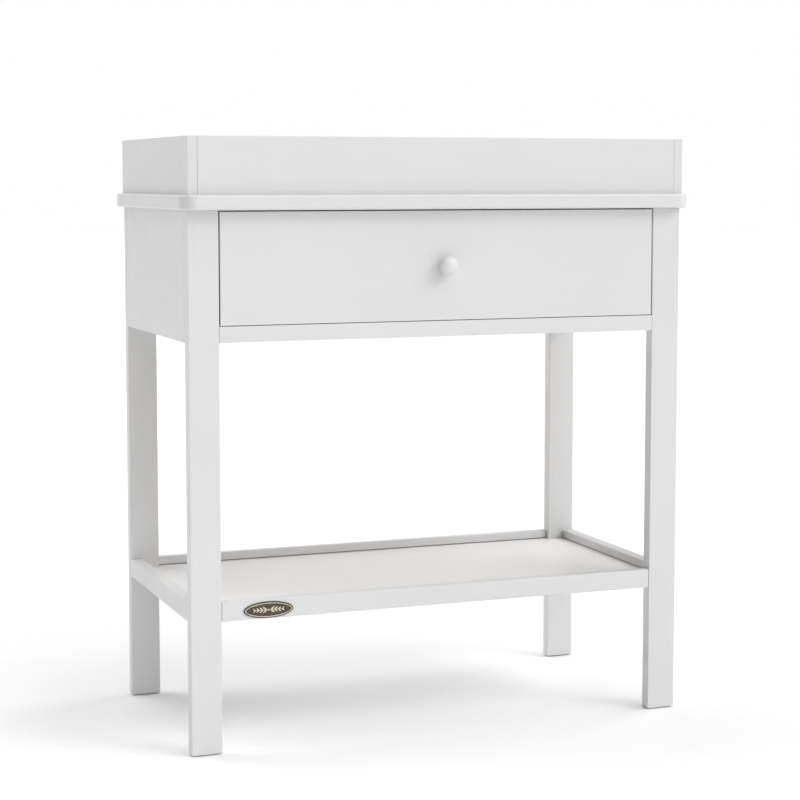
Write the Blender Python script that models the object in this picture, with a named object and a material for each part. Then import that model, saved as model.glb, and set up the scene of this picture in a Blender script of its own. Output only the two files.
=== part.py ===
"""Changing table with a topper tray, one drawer on roller runners and a low shelf.

Metres, +Z up. The origin is on the floor, in the middle of the whole object's
footprint. +X is to the right and -Y is the side that the drawer opens to.
"""
import math

import bmesh
import bpy
from mathutils import Matrix, Vector

# Driving dimensions
TOUCH_GAP = 0.0003           # clearance left between pieces that touch
FRAME_WIDTH = 0.856          # over the outer faces of the legs
FRAME_DEPTH = 0.425
LEG_WIDTH = 0.050
LEG_THICKNESS = 0.021
GLIDE_THICKNESS = 0.0015
GLIDE_RADIUS = 0.0075
GLIDE_NAIL_RADIUS = 0.0011
GLIDE_NAIL_LENGTH = 0.013
TOP_UNDERSIDE = 0.860        # height of the table top's lower face
TOP_THICKNESS = 0.024
TOP_OVERHANG_SIDE = 0.012
TOP_OVERHANG_FRONT = 0.0205  # the same at the back
TOP_CORNER_RADIUS = 0.025
TOP_EDGE_RADIUS = 0.004
TOPPER_HEIGHT = 0.091
TOPPER_BOARD = 0.015
TOPPER_INSET = 0.0135        # from the table top's front and back edges
TOPPER_SCREW_SPACING = 0.280
TOPPER_SCREW_SINK = 0.0005   # screw heads lie this far inside the table top's lower face
APRON_BOTTOM = 0.654
SIDE_PANEL_THICKNESS = 0.018
BACK_PANEL_THICKNESS = 0.015
FRONT_RAIL_HEIGHT = 0.025
FRONT_RAIL_THICKNESS = 0.018
STRETCHER_WIDTH = 0.040
STRETCHER_THICKNESS = 0.018
RUNNER_RAIL_BOTTOM = 0.672
RUNNER_RAIL_HEIGHT = 0.040
SHELF_RAIL_BOTTOM = 0.213
SHELF_RAIL_HEIGHT = 0.0315
SHELF_TOP = 0.2288
SHELF_THICKNESS = 0.012
SHELF_REAR_RAIL_THICKNESS = 0.012
SHELF_GROOVE_DEPTH = 0.007
SHELF_EDGE_RADIUS = 0.002
BADGE_SIZE = (0.082, 0.0266, 0.0020)  # width, height, thickness
BADGE_CENTRE_X = -0.301
BADGE_RISE = 0.0145          # its centre above the shelf rail's lower edge
EDGE_RADIUS = 0.0015         # softened edges of painted boards
KNOB_REACH = 0.027           # how far the knob stands out of the drawer front
KNOB_RADIUS = 0.0155
SCREW_RADIUS = 0.0020        # the knob's machine screw

# Drawer
DRAWER_FRONT_THICKNESS = 0.018
DRAWER_FRONT_GAP = 0.0022    # reveal round the drawer front
DRAWER_BOX_DEPTH = 0.340
DRAWER_BOX_HEIGHT = 0.140
DRAWER_SIDE_THICKNESS = 0.012
DRAWER_BOTTOM_THICKNESS = 0.004
DRAWER_BOTTOM_RISE = 0.0085  # the bottom panel's lower face above the sides' lower edge
DRAWER_GROOVE_DEPTH = 0.006
CAM_RADIUS = 0.0075
CAM_DEPTH = 0.009
CAM_SETBACK = 0.024          # from the drawer side's front end
CAM_RISES = (("lower", 0.045), ("upper", 0.110))

# Roller runners
SHEET = 0.0012               # thickness of the runners' steel
RUNNER_SPACE = 0.0135        # between the leg and the drawer box, on each side
RUNNER_FLOOR = 0.682         # top of the cabinet runner's lower flange
CHANNEL_HEIGHT = 0.020
CABINET_RUNNER_LENGTH = 0.360
DRAWER_RUNNER_LENGTH = 0.350
CABINET_ROLLER_RADIUS = 0.008
DRAWER_ROLLER_RADIUS = 0.0097
ROLLER_WIDTH = 0.0068
ROLLER_LIFT = 0.0004         # the cabinet roller's rim above the runner's floor
CABINET_ROLLER_OFFSET = 0.0007  # washer gap between a web and its roller
DRAWER_ROLLER_OFFSET = 0.0017
CABINET_AXLE_SETBACK = 0.012
DRAWER_AXLE_SETBACK = 0.0095
PIN_RADIUS = 0.0022
PIN_CLEARANCE = 0.0002

# Levels and planes that follow from the driving dimensions
OVERALL_DEPTH = KNOB_REACH + FRAME_DEPTH + TOP_OVERHANG_FRONT
FRONT_Y = -OVERALL_DEPTH / 2 + KNOB_REACH
BACK_Y = FRONT_Y + FRAME_DEPTH
HALF_WIDTH = FRAME_WIDTH / 2
LEG_INNER_X = HALF_WIDTH - LEG_WIDTH
LEG_TOP = TOP_UNDERSIDE - TOUCH_GAP
TOP_FACE = TOP_UNDERSIDE + TOP_THICKNESS
FRONT_RAIL_TOP = APRON_BOTTOM + FRONT_RAIL_HEIGHT
DRAWER_FRONT_BACK_Y = FRONT_Y + DRAWER_FRONT_THICKNESS
DRAWER_BOX_OUTER_X = LEG_INNER_X - RUNNER_SPACE
DRAWER_BOX_INNER_X = DRAWER_BOX_OUTER_X - DRAWER_SIDE_THICKNESS
DRAWER_BOX_FRONT_Y = DRAWER_FRONT_BACK_Y + TOUCH_GAP
DRAWER_BOX_BACK_Y = DRAWER_BOX_FRONT_Y + DRAWER_BOX_DEPTH
DRAWER_RUNNER_BOTTOM = RUNNER_FLOOR + 0.0006
DRAWER_BOX_BOTTOM = DRAWER_RUNNER_BOTTOM + SHEET + TOUCH_GAP
RUNNER_FRONT_Y = FRONT_Y + LEG_THICKNESS + 0.0005

SIDES = (("left", -1), ("right", 1))
ENDS = (("front", -1), ("rear", 1))

# Finishes: colour, roughness, metallic
WHITE_PAINT = ((0.86, 0.86, 0.855), 0.42, 0.0)
WHITE_LAMINATE = ((0.84, 0.84, 0.83), 0.5, 0.0)
ZINC_STEEL = ((0.62, 0.63, 0.65), 0.34, 1.0)
WHITE_STEEL = ((0.83, 0.83, 0.82), 0.38, 0.0)
NYLON = ((0.9, 0.9, 0.88), 0.45, 0.0)
GLIDE_PLASTIC = ((0.55, 0.55, 0.54), 0.55, 0.0)
ANTIQUE_BRASS = ((0.22, 0.19, 0.13), 0.4, 1.0)


def clear_scene():
    for obj in list(bpy.data.objects):
        bpy.data.objects.remove(obj, do_unlink=True)


def finish_material(name, finish):
    colour, roughness, metallic = finish
    material = bpy.data.materials.new(name + "_finish")
    material.use_nodes = True
    shader = material.node_tree.nodes["Principled BSDF"]
    shader.inputs["Base Color"].default_value = (*colour, 1.0)
    shader.inputs["Roughness"].default_value = roughness
    shader.inputs["Metallic"].default_value = metallic
    return material


def group_empty(name, location, parent=None):
    empty = bpy.data.objects.new(name, None)
    empty.empty_display_size = 0.05
    bpy.context.collection.objects.link(empty)
    empty.parent = parent
    empty.location = Vector(location) - world_origin(parent)
    return empty


def world_origin(obj):
    origin = Vector((0.0, 0.0, 0.0))
    while obj is not None:
        origin += obj.location
        obj = obj.parent
    return origin


def add_object(name, bm, finish, location, parent):
    """Turn a bmesh into an object whose origin is at a world position."""
    mesh = bpy.data.meshes.new(name)
    bm.to_mesh(mesh)
    bm.free()
    obj = bpy.data.objects.new(name, mesh)
    bpy.context.collection.objects.link(obj)
    obj.parent = parent
    obj.location = Vector(location) - world_origin(parent)
    obj.data.materials.append(finish_material(name, finish))
    return obj


def box_mesh(size):
    bm = bmesh.new()
    bmesh.ops.create_cube(bm, size=1.0)
    bmesh.ops.scale(bm, vec=size, verts=bm.verts)
    return bm


def round_edges(obj, radius, segments=2):
    bevel = obj.modifiers.new("edges", "BEVEL")
    bevel.width = radius
    bevel.segments = segments
    bevel.limit_method = "ANGLE"
    bevel.angle_limit = math.radians(40)


def board(name, low, high, finish, parent, radius=EDGE_RADIUS):
    """A board between two world corners, with softened edges."""
    low, high = Vector(low), Vector(high)
    obj = add_object(name, box_mesh(high - low), finish, (low + high) / 2, parent)
    round_edges(obj, radius)
    return obj


def turned_mesh(profile, steps):
    """Spin (radius, height) points about Z. The profile runs from the axis to the axis."""
    bm = bmesh.new()
    rim = [bm.verts.new((radius, 0.0, height)) for radius, height in profile]
    edges = [bm.edges.new(pair) for pair in zip(rim, rim[1:])]
    bmesh.ops.spin(bm, geom=rim + edges, cent=(0, 0, 0), axis=(0, 0, 1),
                   angle=math.tau, steps=steps)
    bmesh.ops.remove_doubles(bm, verts=bm.verts, dist=1e-6)
    bmesh.ops.dissolve_degenerate(bm, edges=bm.edges, dist=1e-7)
    bmesh.ops.recalc_face_normals(bm, faces=bm.faces)
    return bm


def turned(name, profile, axis, finish, location, parent, steps=32):
    """A turned piece whose profile height runs along the given axis from its location."""
    bm = turned_mesh(profile, steps)
    turn = Vector((0, 0, 1)).rotation_difference(Vector(axis)).to_matrix().to_4x4()
    bmesh.ops.transform(bm, matrix=turn, verts=bm.verts)
    obj = add_object(name, bm, finish, location, parent)
    obj.data.shade_smooth()
    obj.data.set_sharp_from_angle(angle=math.radians(35))
    return obj


def tube_mesh(outer, inner, length, steps):
    """A ring with a bore along Z, centred on the origin."""
    bm = bmesh.new()
    corners = ((inner, -length / 2), (outer, -length / 2), (outer, length / 2), (inner, length / 2))
    rim = [bm.verts.new((radius, 0.0, height)) for radius, height in corners]
    edges = [bm.edges.new((rim[i], rim[(i + 1) % 4])) for i in range(4)]
    bmesh.ops.spin(bm, geom=rim + edges, cent=(0, 0, 0), axis=(0, 0, 1),
                   angle=math.tau, steps=steps)
    bmesh.ops.remove_doubles(bm, verts=bm.verts, dist=1e-6)
    bmesh.ops.recalc_face_normals(bm, faces=bm.faces)
    return bm


def subtract(target, bm, location):
    """Cut a closed mesh, placed at a world position, out of a piece."""
    mesh = bpy.data.meshes.new("cutter")
    bmesh.ops.recalc_face_normals(bm, faces=bm.faces)
    bm.to_mesh(mesh)
    bm.free()
    cutter = bpy.data.objects.new("cutter_for_" + target.name, mesh)
    bpy.context.collection.objects.link(cutter)
    cutter.location = location
    cutter.hide_render = True
    cutter.display_type = "WIRE"
    cut = target.modifiers.new("cut", "BOOLEAN")
    cut.operation = "DIFFERENCE"
    cut.solver = "EXACT"
    cut.object = cutter


def subtract_box(target, low, high):
    low, high = Vector(low), Vector(high)
    subtract(target, box_mesh(high - low), (low + high) / 2)


def subtract_turned(target, profile, axis, location, steps=24):
    bm = turned_mesh(profile, steps)
    turn = Vector((0, 0, 1)).rotation_difference(Vector(axis)).to_matrix().to_4x4()
    bmesh.ops.transform(bm, matrix=turn, verts=bm.verts)
    subtract(target, bm, location)


def rod_profile(radius, low, high):
    return ((0.0, low), (radius, low), (radius, high), (0.0, high))


def grow_profile(profile, gap):
    """The same turned profile, larger by a gap all round."""
    lowest = min(height for _, height in profile)
    highest = max(height for _, height in profile)
    grown = []
    for radius, height in profile:
        wider = radius + gap if radius > 0 else 0.0
        if height == lowest:
            height -= gap
        if height == highest:
            height += gap
        grown.append((wider, height))
    return grown


# Legs and their glides

def glide_profile():
    """A disc under the foot with a nail that goes up into the leg."""
    disc, rim, point = GLIDE_RADIUS, 0.0006, 0.002
    thick, nail, length = GLIDE_THICKNESS, GLIDE_NAIL_RADIUS, GLIDE_NAIL_LENGTH
    return ((0, 0), (disc - rim, 0), (disc, rim), (disc, thick), (nail, thick),
            (nail, length - point), (0, length))


def make_leg(side, sign, end, depth_sign, parent):
    low_x, high_x = sorted((sign * HALF_WIDTH, sign * LEG_INNER_X))
    if depth_sign < 0:
        low_y = FRONT_Y
    else:
        low_y = BACK_Y - LEG_THICKNESS
    foot = GLIDE_THICKNESS + TOUCH_GAP
    leg = board(f"leg_{end}_{side}", (low_x, low_y, foot), (high_x, low_y + LEG_THICKNESS, LEG_TOP),
                WHITE_PAINT, parent)
    centre = ((low_x + high_x) / 2, low_y + LEG_THICKNESS / 2, 0.0)
    nail_hole = rod_profile(GLIDE_NAIL_RADIUS + TOUCH_GAP, 0.0, GLIDE_NAIL_LENGTH + TOUCH_GAP)
    subtract_turned(leg, nail_hole, (0, 0, 1), centre, steps=12)
    turned(f"foot_glide_{end}_{side}", glide_profile(), (0, 0, 1), GLIDE_PLASTIC, centre, parent,
           steps=24)


# Apron: panels and rails that carry the drawer and the top

def make_apron(parent):
    gap = TOUCH_GAP
    low_y = FRONT_Y + LEG_THICKNESS + gap
    high_y = BACK_Y - LEG_THICKNESS - gap
    panel_inner_x = HALF_WIDTH - SIDE_PANEL_THICKNESS
    for side, sign in SIDES:
        low_x, high_x = sorted((sign * HALF_WIDTH, sign * panel_inner_x))
        board(f"side_panel_{side}", (low_x, low_y, APRON_BOTTOM), (high_x, high_y, LEG_TOP),
              WHITE_PAINT, parent, radius=0.001)
        low_x, high_x = sorted((sign * (panel_inner_x - gap), sign * LEG_INNER_X))
        board(f"runner_rail_{side}", (low_x, low_y, RUNNER_RAIL_BOTTOM),
              (high_x, high_y, RUNNER_RAIL_BOTTOM + RUNNER_RAIL_HEIGHT), WHITE_LAMINATE, parent)
    reach = LEG_INNER_X - gap
    board("front_rail", (-reach, FRONT_Y, APRON_BOTTOM),
          (reach, FRONT_Y + FRONT_RAIL_THICKNESS, FRONT_RAIL_TOP), WHITE_PAINT, parent)
    board("back_panel", (-reach, BACK_Y - BACK_PANEL_THICKNESS, APRON_BOTTOM), (reach, BACK_Y, LEG_TOP),
          WHITE_PAINT, parent)
    reach = panel_inner_x - gap
    board("upper_stretcher", (-reach, low_y, LEG_TOP - STRETCHER_THICKNESS),
          (reach, low_y + STRETCHER_WIDTH, LEG_TOP), WHITE_LAMINATE, parent)


# Table top and topper

def rounded_plate_mesh(size, corner_radius, corner_steps=8):
    """A plate centred on the origin, with round corners seen from above."""
    width, depth, thickness = size
    bm = bmesh.new()
    rim = []
    for quarter in range(4):
        start = quarter * math.pi / 2
        sign_x = 1 if quarter in (0, 3) else -1
        sign_y = 1 if quarter in (0, 1) else -1
        centre_x = sign_x * (width / 2 - corner_radius)
        centre_y = sign_y * (depth / 2 - corner_radius)
        for step in range(corner_steps + 1):
            angle = start + step / corner_steps * math.pi / 2
            rim.append(bm.verts.new((centre_x + corner_radius * math.cos(angle),
                                     centre_y + corner_radius * math.sin(angle), -thickness / 2)))
    face = bm.faces.new(rim)
    top = bmesh.ops.extrude_face_region(bm, geom=[face])
    verts = [item for item in top["geom"] if isinstance(item, bmesh.types.BMVert)]
    bmesh.ops.translate(bm, vec=(0, 0, thickness), verts=verts)
    bmesh.ops.recalc_face_normals(bm, faces=bm.faces)
    return bm


def topper_planes():
    """World Y of the topper's front and back faces."""
    front = FRONT_Y - TOP_OVERHANG_FRONT + TOPPER_INSET
    back = BACK_Y + TOP_OVERHANG_FRONT - TOPPER_INSET
    return front, back


def screw_profile():
    """A countersunk screw, head down at height 0, point up."""
    head, head_edge, neck = 0.0040, 0.0006, 0.0028
    shank, point, length = 0.0019, 0.006, 0.045
    return ((0, 0), (head, 0), (head, head_edge), (shank, neck), (shank, length - point), (0, length))


def make_top(parent):
    size = (FRAME_WIDTH + 2 * TOP_OVERHANG_SIDE, FRAME_DEPTH + 2 * TOP_OVERHANG_FRONT, TOP_THICKNESS)
    centre = (0.0, (FRONT_Y + BACK_Y) / 2, TOP_UNDERSIDE + TOP_THICKNESS / 2)
    bm = rounded_plate_mesh(size, TOP_CORNER_RADIUS)
    top = add_object("table_top", bm, WHITE_PAINT, centre, parent)
    top.data.shade_smooth()
    top.data.set_sharp_from_angle(angle=math.radians(40))
    round_edges(top, TOP_EDGE_RADIUS, segments=3)

    front, back = topper_planes()
    low_z = TOP_FACE + TOUCH_GAP
    high_z = TOP_FACE + TOPPER_HEIGHT
    inner_x = HALF_WIDTH - TOPPER_BOARD
    sides = {}
    for side, sign in SIDES:
        low_x, high_x = sorted((sign * HALF_WIDTH, sign * inner_x))
        sides[side] = board(f"topper_{side}", (low_x, front, low_z), (high_x, back, high_z),
                            WHITE_PAINT, parent)
    reach = inner_x - TOUCH_GAP
    board("topper_front", (-reach, front, low_z), (reach, front + TOPPER_BOARD, high_z),
          WHITE_PAINT, parent)
    board("topper_rear", (-reach, back - TOPPER_BOARD, low_z), (reach, back, high_z),
          WHITE_PAINT, parent)

    head_z = TOP_UNDERSIDE + TOPPER_SCREW_SINK
    hole = grow_profile(screw_profile(), TOUCH_GAP)
    head_radius = hole[1][0]
    sink = ((0, -2 * TOPPER_SCREW_SINK), (head_radius, -2 * TOPPER_SCREW_SINK), *hole[2:])
    for side, sign in SIDES:
        for end, depth_sign in ENDS:
            spot = (sign * (HALF_WIDTH - TOPPER_BOARD / 2),
                    centre[1] + depth_sign * TOPPER_SCREW_SPACING / 2, head_z)
            turned(f"topper_screw_{end}_{side}", screw_profile(), (0, 0, 1), ZINC_STEEL, spot, parent,
                   steps=16)
            subtract_turned(top, sink, (0, 0, 1), spot, steps=16)
            subtract_turned(sides[side], hole, (0, 0, 1), spot, steps=16)


# Low shelf

def make_shelf(parent):
    gap = TOUCH_GAP
    low_z = SHELF_RAIL_BOTTOM
    high_z = SHELF_RAIL_BOTTOM + SHELF_RAIL_HEIGHT
    reach = LEG_INNER_X - gap
    rails = [
        board("shelf_rail_front", (-reach, FRONT_Y, low_z), (reach, FRONT_Y + LEG_THICKNESS, high_z),
              WHITE_PAINT, parent, radius=SHELF_EDGE_RADIUS),
        board("shelf_rail_rear", (-reach, BACK_Y - SHELF_REAR_RAIL_THICKNESS, low_z),
              (reach, BACK_Y, high_z), WHITE_PAINT, parent, radius=SHELF_EDGE_RADIUS),
    ]
    for side, sign in SIDES:
        low_x, high_x = sorted((sign * HALF_WIDTH, sign * (HALF_WIDTH - LEG_THICKNESS)))
        rails.append(board(f"shelf_rail_{side}", (low_x, FRONT_Y + LEG_THICKNESS + gap, low_z),
                           (high_x, BACK_Y - LEG_THICKNESS - gap, high_z), WHITE_PAINT, parent,
                           radius=SHELF_EDGE_RADIUS))

    half_x = HALF_WIDTH - LEG_THICKNESS + SHELF_GROOVE_DEPTH
    low_y = FRONT_Y + LEG_THICKNESS - SHELF_GROOVE_DEPTH
    high_y = BACK_Y - SHELF_REAR_RAIL_THICKNESS + SHELF_GROOVE_DEPTH
    low = (-half_x, low_y, SHELF_TOP - SHELF_THICKNESS)
    high = (half_x, high_y, SHELF_TOP)
    shelf = board("shelf_board", low, high, WHITE_PAINT, parent, radius=0.0005)
    for sign_x in (-1, 1):
        for end_y, into in ((low_y, -1), (high_y, 1)):
            notch_x = LEG_INNER_X - 2 * gap
            if into < 0:
                notch_y = FRONT_Y + LEG_THICKNESS + 2 * gap
            else:
                notch_y = BACK_Y - LEG_THICKNESS - 2 * gap
            xs = sorted((sign_x * notch_x, sign_x * (half_x + 0.01)))
            ys = sorted((notch_y, end_y + into * 0.01))
            subtract_box(shelf, (xs[0], ys[0], low[2] - 0.01), (xs[1], ys[1], high[2] + 0.01))
    for rail in rails:
        subtract_box(rail, (low[0] - gap, low[1] - gap, low[2] - gap),
                     (high[0] + gap, high[1] + gap, high[2] + 0.0005))


def make_badge(parent):
    """An oval plate with a raised rim, on the shelf's front rail."""
    width, height, thickness = BADGE_SIZE
    rim, slope, recess = 0.0020, 0.0006, 0.0006
    centre = (BADGE_CENTRE_X, FRONT_Y - TOUCH_GAP - thickness / 2, SHELF_RAIL_BOTTOM + BADGE_RISE)
    bm = bmesh.new()
    bmesh.ops.create_circle(bm, cap_ends=True, cap_tris=False, segments=48, radius=1.0)
    bmesh.ops.scale(bm, vec=(width / 2, height / 2, 1.0), verts=bm.verts)
    bmesh.ops.translate(bm, vec=(0, 0, -thickness / 2), verts=bm.verts)
    grown = bmesh.ops.extrude_face_region(bm, geom=list(bm.faces))
    verts = [item for item in grown["geom"] if isinstance(item, bmesh.types.BMVert)]
    bmesh.ops.translate(bm, vec=(0, 0, thickness), verts=verts)
    face = max(bm.faces, key=lambda item: item.calc_center_median().z)
    bmesh.ops.inset_region(bm, faces=[face], thickness=rim)
    bmesh.ops.inset_region(bm, faces=[face], thickness=slope)
    bmesh.ops.translate(bm, vec=(0, 0, -recess), verts=face.verts)
    bmesh.ops.recalc_face_normals(bm, faces=bm.faces)
    bmesh.ops.rotate(bm, cent=(0, 0, 0), matrix=Matrix.Rotation(math.radians(90), 3, "X"), verts=bm.verts)
    add_object("badge_plate", bm, ANTIQUE_BRASS, centre, parent)


# Drawer

def make_drawer_front(parent):
    gap = DRAWER_FRONT_GAP
    low = (-(LEG_INNER_X - gap), FRONT_Y, FRONT_RAIL_TOP + gap)
    high = (LEG_INNER_X - gap, DRAWER_FRONT_BACK_Y, TOP_UNDERSIDE - gap)
    front = board("drawer_front", low, high, WHITE_PAINT, parent)
    half_x = DRAWER_BOX_INNER_X + DRAWER_GROOVE_DEPTH - 0.001
    bottom_z = DRAWER_BOX_BOTTOM + DRAWER_BOTTOM_RISE
    subtract_box(front, (-half_x, DRAWER_FRONT_BACK_Y - DRAWER_GROOVE_DEPTH, bottom_z - TOUCH_GAP),
                 (half_x, DRAWER_FRONT_BACK_Y + 0.01, bottom_z + DRAWER_BOTTOM_THICKNESS + TOUCH_GAP))
    return front, (low[2] + high[2]) / 2


def knob_profile(reach):
    """The knob along its axis: blind hole for the screw, flared neck and round head."""
    hole, hole_depth = SCREW_RADIUS + TOUCH_GAP, 0.015
    half_depth, lowest_angle, steps = 0.0105, -52, 9
    belly = reach - half_depth
    points = [(0.0, hole_depth), (hole, hole_depth), (hole, 0.0), (0.0082, 0.0), (0.0088, 0.0010),
              (0.0070, 0.0035), (0.0066, 0.0055), (0.0078, 0.0080)]
    for step in range(steps):
        angle = math.radians(lowest_angle + step * (90 - lowest_angle) / steps)
        points.append((KNOB_RADIUS * math.cos(angle), belly + half_depth * math.sin(angle)))
    points.append((0.0, reach))
    return points


def knob_screw_profile():
    """A pan head at negative heights and a shank that reaches into the knob."""
    head, head_height, chamfer = 0.0045, 0.0022, 0.0010
    shank_end = DRAWER_FRONT_THICKNESS + 0.012
    return ((0, -head_height), (head - chamfer, -head_height), (head, chamfer - head_height), (head, 0),
            (SCREW_RADIUS, 0), (SCREW_RADIUS, shank_end), (0, shank_end + 0.0015))


def make_knob(front, height, parent):
    gap = TOUCH_GAP
    turned("drawer_knob", knob_profile(KNOB_REACH - gap), (0, -1, 0), WHITE_PAINT,
           (0.0, FRONT_Y - gap, height), parent, steps=36)
    spot = (0.0, DRAWER_FRONT_BACK_Y + gap, height)
    turned("knob_screw", knob_screw_profile(), (0, -1, 0), ZINC_STEEL, spot, parent, steps=20)
    bore = rod_profile(SCREW_RADIUS + gap, -0.01, DRAWER_FRONT_THICKNESS + 0.01)
    subtract_turned(front, bore, (0, -1, 0), spot, steps=20)


def cam_profile():
    """A round cam lock, its face just below the wall that holds it."""
    sunk, chamfer = TOUCH_GAP, 0.0004
    return ((0, TOUCH_GAP - CAM_DEPTH), (CAM_RADIUS, TOUCH_GAP - CAM_DEPTH), (CAM_RADIUS, -sunk - chamfer),
            (CAM_RADIUS - chamfer, -sunk), (0, -sunk))


def make_drawer_box(parent):
    gap = TOUCH_GAP
    low_z, high_z = DRAWER_BOX_BOTTOM, DRAWER_BOX_BOTTOM + DRAWER_BOX_HEIGHT
    front_y, back_y = DRAWER_BOX_FRONT_Y, DRAWER_BOX_BACK_Y
    bottom_low = low_z + DRAWER_BOTTOM_RISE
    bottom_high = bottom_low + DRAWER_BOTTOM_THICKNESS
    panel_x = DRAWER_BOX_INNER_X + DRAWER_GROOVE_DEPTH - 0.001
    groove_x = DRAWER_BOX_INNER_X + DRAWER_GROOVE_DEPTH

    for side, sign in SIDES:
        low_x, high_x = sorted((sign * DRAWER_BOX_OUTER_X, sign * DRAWER_BOX_INNER_X))
        wall = board(f"drawer_side_{side}", (low_x, front_y, low_z), (high_x, back_y, high_z),
                     WHITE_LAMINATE, parent, radius=0.001)
        xs = sorted((sign * groove_x, sign * (DRAWER_BOX_INNER_X - 0.01)))
        subtract_box(wall, (xs[0], front_y - 0.01, bottom_low - gap),
                     (xs[1], back_y + 0.01, bottom_high + gap))
        for level, rise in CAM_RISES:
            spot = (sign * DRAWER_BOX_INNER_X, front_y + CAM_SETBACK, low_z + rise)
            inwards = (-sign, 0, 0)
            turned(f"cam_lock_{level}_{side}", cam_profile(), inwards, ZINC_STEEL, spot, parent, steps=24)
            pocket = rod_profile(CAM_RADIUS + gap, -CAM_DEPTH, 0.002)
            subtract_turned(wall, pocket, inwards, spot)

    reach = DRAWER_BOX_INNER_X - gap
    back = board("drawer_back", (-reach, back_y - DRAWER_SIDE_THICKNESS, low_z), (reach, back_y, high_z),
                 WHITE_LAMINATE, parent, radius=0.001)
    subtract_box(back, (-reach - 0.01, back_y - DRAWER_SIDE_THICKNESS - 0.01, bottom_low - gap),
                 (reach + 0.01, back_y - DRAWER_SIDE_THICKNESS + DRAWER_GROOVE_DEPTH, bottom_high + gap))
    board("drawer_bottom", (-panel_x + gap, DRAWER_FRONT_BACK_Y - DRAWER_GROOVE_DEPTH + 0.001, bottom_low),
          (panel_x - gap, back_y - DRAWER_SIDE_THICKNESS + DRAWER_GROOVE_DEPTH - 0.001, bottom_high),
          WHITE_LAMINATE, parent, radius=0.0003)


# Roller runners

def section_mesh(outline, length, mirror):
    """Extrude a closed (x, z) outline along +Y from the origin."""
    bm = bmesh.new()
    face = bm.faces.new([bm.verts.new((mirror * x, 0.0, z)) for x, z in outline])
    grown = bmesh.ops.extrude_face_region(bm, geom=[face])
    verts = [item for item in grown["geom"] if isinstance(item, bmesh.types.BMVert)]
    bmesh.ops.translate(bm, vec=(0, length, 0), verts=verts)
    bmesh.ops.recalc_face_normals(bm, faces=bm.faces)
    return bm


def cabinet_runner_outline():
    """C section of the left runner, open to the drawer. x is measured from the runner rail."""
    floor_reach, lip_reach = 0.0102, 0.0062
    top = CHANNEL_HEIGHT + SHEET
    return ((0, -SHEET), (floor_reach, -SHEET), (floor_reach, 0), (SHEET, 0), (SHEET, CHANNEL_HEIGHT),
            (lip_reach, CHANNEL_HEIGHT), (lip_reach, top), (0, top))


def track_height():
    """Underside of the drawer runner's track above its foot."""
    roller_top = RUNNER_FLOOR + ROLLER_LIFT + 2 * CABINET_ROLLER_RADIUS
    return roller_top + TOUCH_GAP - DRAWER_RUNNER_BOTTOM


def drawer_runner_outline():
    """Z section of the left runner: foot under the drawer side, web, track that rides on the roller.

    x is measured from the web's outer face, z from the foot's lower face.
    """
    foot, track = 0.0130, -0.0090
    track_z = track_height()
    return ((0, 0), (foot, 0), (foot, SHEET), (SHEET, SHEET), (SHEET, track_z + SHEET),
            (track, track_z + SHEET), (track, track_z), (0, track_z))


def pin_profile(length, flush_start):
    """A rivet along its axis, through a stack of the given length: heads past its ends."""
    head, thickness, gap = 0.0031, 0.0009, TOUCH_GAP
    far_end = ((PIN_RADIUS, length + gap), (head, length + gap), (head, length + thickness + gap),
               (0, length + thickness + gap))
    if flush_start:
        return ((0, 0), (PIN_RADIUS, 0), *far_end)
    return ((0, -thickness - gap), (head, -thickness - gap), (head, -gap), (PIN_RADIUS, -gap), *far_end)


def make_roller(name, radius, location, parent):
    """A nylon wheel on a cross-wise axle, its origin on the axle."""
    bm = tube_mesh(radius, PIN_RADIUS + PIN_CLEARANCE, ROLLER_WIDTH, steps=32)
    bmesh.ops.rotate(bm, cent=(0, 0, 0), matrix=Matrix.Rotation(math.radians(90), 3, "Y"), verts=bm.verts)
    roller = add_object(name, bm, NYLON, location, parent)
    roller.data.shade_smooth()
    roller.data.set_sharp_from_angle(angle=math.radians(35))


def rivet_through(runner, name, stack, flush_start, axis, spot, parent):
    """A rivet that starts at a face of the runner's web, and the hole that it passes through."""
    turned(name, pin_profile(stack, flush_start), axis, ZINC_STEEL, spot, parent, steps=20)
    hole = rod_profile(PIN_RADIUS + PIN_CLEARANCE, -2 * SHEET, 2 * SHEET)
    subtract_turned(runner, hole, axis, spot, steps=20)


def make_cabinet_runner(side, sign, root):
    """The fixed runner, with its roller at the front."""
    web_x = LEG_INNER_X - TOUCH_GAP
    runner = add_object(f"cabinet_runner_{side}",
                        section_mesh(cabinet_runner_outline(), CABINET_RUNNER_LENGTH, -sign),
                        WHITE_STEEL, (sign * web_x, RUNNER_FRONT_Y, RUNNER_FLOOR), root)
    axle_y = RUNNER_FRONT_Y + CABINET_AXLE_SETBACK
    axle_z = RUNNER_FLOOR + ROLLER_LIFT + CABINET_ROLLER_RADIUS
    roller_x = web_x - SHEET - CABINET_ROLLER_OFFSET - ROLLER_WIDTH / 2
    make_roller(f"cabinet_roller_{side}", CABINET_ROLLER_RADIUS,
                (sign * roller_x, axle_y, axle_z), root)
    rivet_through(runner, f"cabinet_roller_pin_{side}", SHEET + CABINET_ROLLER_OFFSET + ROLLER_WIDTH,
                  True, (-sign, 0, 0), (sign * web_x, axle_y, axle_z), root)


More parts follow.
